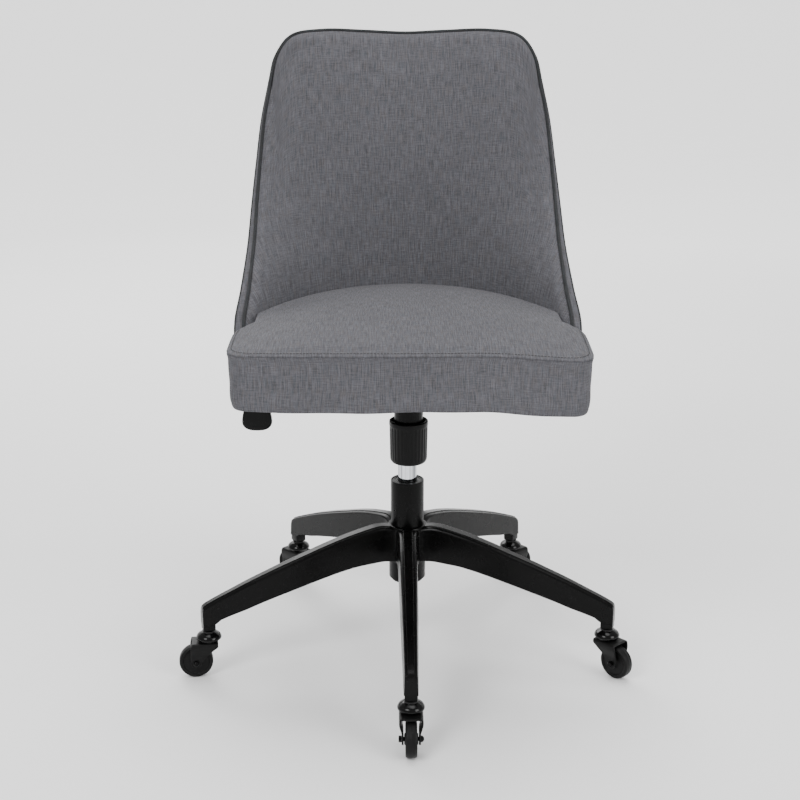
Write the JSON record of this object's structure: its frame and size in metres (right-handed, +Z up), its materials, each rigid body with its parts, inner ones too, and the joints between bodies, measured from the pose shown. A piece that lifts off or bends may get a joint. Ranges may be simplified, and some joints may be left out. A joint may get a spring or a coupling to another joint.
{
  "type": "swivel office chair",
  "caption": "Upholstered swivel office chair: padded box seat, wrap-round welted back, tilt mechanism, gas lift and star base on swivelling castors.",
  "frame": {"origin": "on the floor, in the middle of the chair's footprint", "axes": "+Z up, and the sitter faces -Y"},
  "size_m": [0.6688, 0.6409, 0.9245],
  "materials": {
    "fabric": "grey linen-like weave",
    "welt_fabric": "dark slate weave",
    "plywood": "bare laminated wood",
    "dust_cloth": "black nonwoven",
    "cast_black": "satin black",
    "black_steel": "satin black",
    "black_plastic": "fine texture",
    "chrome": "polished",
    "bare_steel": "zinc plated",
    "rubber": "matte black"
  },
  "bodies": {
    "base": {"star_base": "cast_black", "stand_tube": "black_steel", "guide_bush": "black_plastic", "thrust_bearing": "bare_steel", "castor_stem_1": "bare_steel", "castor_dome_1": "black_steel", "castor_stem_2": "bare_steel", "castor_dome_2": "black_steel", "castor_stem_3": "bare_steel", "castor_dome_3": "black_steel", "castor_stem_4": "bare_steel", "castor_dome_4": "black_steel", "castor_stem_5": "bare_steel", "castor_dome_5": "black_steel"},
    "castor_1": {"castor_fork_1": "black_steel", "castor_axle_1": "black_steel"},
    "wheel_1": {"castor_wheel_1": "rubber"},
    "castor_2": {"castor_fork_2": "black_steel", "castor_axle_2": "black_steel"},
    "wheel_2": {"castor_wheel_2": "rubber"},
    "castor_3": {"castor_fork_3": "black_steel", "castor_axle_3": "black_steel"},
    "wheel_3": {"castor_wheel_3": "rubber"},
    "castor_4": {"castor_fork_4": "black_steel", "castor_axle_4": "black_steel"},
    "wheel_4": {"castor_wheel_4": "rubber"},
    "castor_5": {"castor_fork_5": "black_steel", "castor_axle_5": "black_steel"},
    "wheel_5": {"castor_wheel_5": "rubber"},
    "lift_rod": {"piston_rod": "bare_steel", "rod_clip": "bare_steel"},
    "mechanism": {"pressure_tube": "chrome", "tilt_housing": "black_steel", "pivot_axle": "bare_steel", "tension_spring": "bare_steel"},
    "seat": {"seat_plate": "black_steel", "seat_board": "plywood", "seat_cushion": "fabric", "dust_cover": "dust_cloth", "back_cover": "fabric", "back_shell": "plywood", "back_pad": "fabric", "back_welt": "welt_fabric", "plate_bolt_1": "bare_steel", "plate_bolt_2": "bare_steel", "plate_bolt_3": "bare_steel", "plate_bolt_4": "bare_steel", "back_bolt_1": "bare_steel", "back_bolt_2": "bare_steel", "back_bolt_3": "bare_steel", "back_bolt_4": "bare_steel"},
    "tension_stem": {"tension_bolt": "bare_steel"},
    "tension_seat": {"spring_washer": "bare_steel"},
    "tension_grip": {"tension_knob": "black_plastic"},
    "height_lever": {"lever_rod": "black_steel", "lever_paddle": "black_plastic"},
    "valve": {"valve_pin": "bare_steel"}
  },
  "joints": [
    {"name": "seat_swivel", "type": "hinge", "parent": "base", "child": "lift_rod", "pos_m": [0, 0.033, 0.12], "axis": [0, 0, 1], "continuous": true},
    {"name": "seat_height", "type": "slide", "parent": "lift_rod", "child": "mechanism", "axis": [0, 0, 1], "range_m": [-0.08, 0]},
    {"name": "seat_tilt", "type": "hinge", "parent": "mechanism", "child": "seat", "pos_m": [0, -0.002, 0.434], "axis": [-1, 0, 0], "range_deg": [0, 10], "stiffness_Nm_per_rad": 180, "springref_deg": -11.46, "deforming": ["tension_spring"]},
    {"name": "tension_bolt_swing", "type": "hinge", "parent": "seat", "child": "tension_stem", "pos_m": [0, -0.062, 0.438], "axis": [-1, 0, 0], "range_deg": [-10, 0]},
    {"name": "tension_climb", "type": "slide", "parent": "tension_stem", "child": "tension_seat", "axis": [0, 0, 1], "range_m": [0, 0.005]},
    {"name": "tension_turn", "type": "hinge", "parent": "tension_seat", "child": "tension_grip", "pos_m": [0, -0.062, 0.365], "axis": [0, 0, 1], "range_deg": [0, 1440]},
    {"name": "height_lever", "type": "hinge", "parent": "mechanism", "child": "height_lever", "pos_m": [-0.0385, 0.033, 0.4325], "axis": [0, 1, 0], "range_deg": [0, 5], "stiffness_Nm_per_rad": 1.5, "springref_deg": -8.59},
    {"name": "valve_press", "type": "slide", "parent": "mechanism", "child": "valve", "axis": [0, 0, -1], "range_m": [0, 0.0034], "stiffness_N_per_m": 400, "springref_m": -0.003},
    {"name": "castor_swivel_1", "type": "hinge", "parent": "base", "child": "castor_1", "pos_m": [0, -0.277, 0.055], "axis": [0, 0, 1], "continuous": true},
    {"name": "wheel_roll_1", "type": "hinge", "parent": "castor_1", "child": "wheel_1", "pos_m": [0, -0.297, 0.025], "axis": [1, 0, 0], "continuous": true},
    {"name": "castor_swivel_2", "type": "hinge", "parent": "base", "child": "castor_2", "pos_m": [0.29483, -0.0628, 0.055], "axis": [0, 0, 1], "continuous": true},
    {"name": "wheel_roll_2", "type": "hinge", "parent": "castor_2", "child": "wheel_2", "pos_m": [0.30821, -0.07766, 0.025], "axis": [0.7431, 0.6691, 0], "continuous": true},
    {"name": "castor_swivel_3", "type": "hinge", "parent": "base", "child": "castor_3", "pos_m": [0.18221, 0.2838, 0.055], "axis": [0, 0, 1], "continuous": true},
    {"name": "wheel_roll_3", "type": "hinge", "parent": "castor_3", "child": "wheel_3", "pos_m": [0.19731, 0.29692, 0.025], "axis": [-0.6561, 0.7547, 0], "continuous": true},
    {"name": "castor_swivel_4", "type": "hinge", "parent": "base", "child": "castor_4", "pos_m": [-0.18221, 0.2838, 0.055], "axis": [0, 0, 1], "continuous": true},
    {"name": "wheel_roll_4", "type": "hinge", "parent": "castor_4", "child": "wheel_4", "pos_m": [-0.19636, 0.29794, 0.025], "axis": [-0.7071, -0.7071, 0], "continuous": true},
    {"name": "castor_swivel_5", "type": "hinge", "parent": "base", "child": "castor_5", "pos_m": [-0.29483, -0.0628, 0.055], "axis": [0, 0, 1], "continuous": true},
    {"name": "wheel_roll_5", "type": "hinge", "parent": "castor_5", "child": "wheel_5", "pos_m": [-0.31463, -0.06558, 0.025], "axis": [0.1392, -0.9903, 0], "continuous": true}
  ],
  "couplings": [
    {"joint": "tension_bolt_swing", "follows": "seat_tilt", "ratio": -1},
    {"joint": "tension_turn", "follows": "tension_climb", "rad_per_m": 5026.5},
    {"joint": "valve_press", "follows": "height_lever", "m_per_rad": 0.0385}
  ]
}
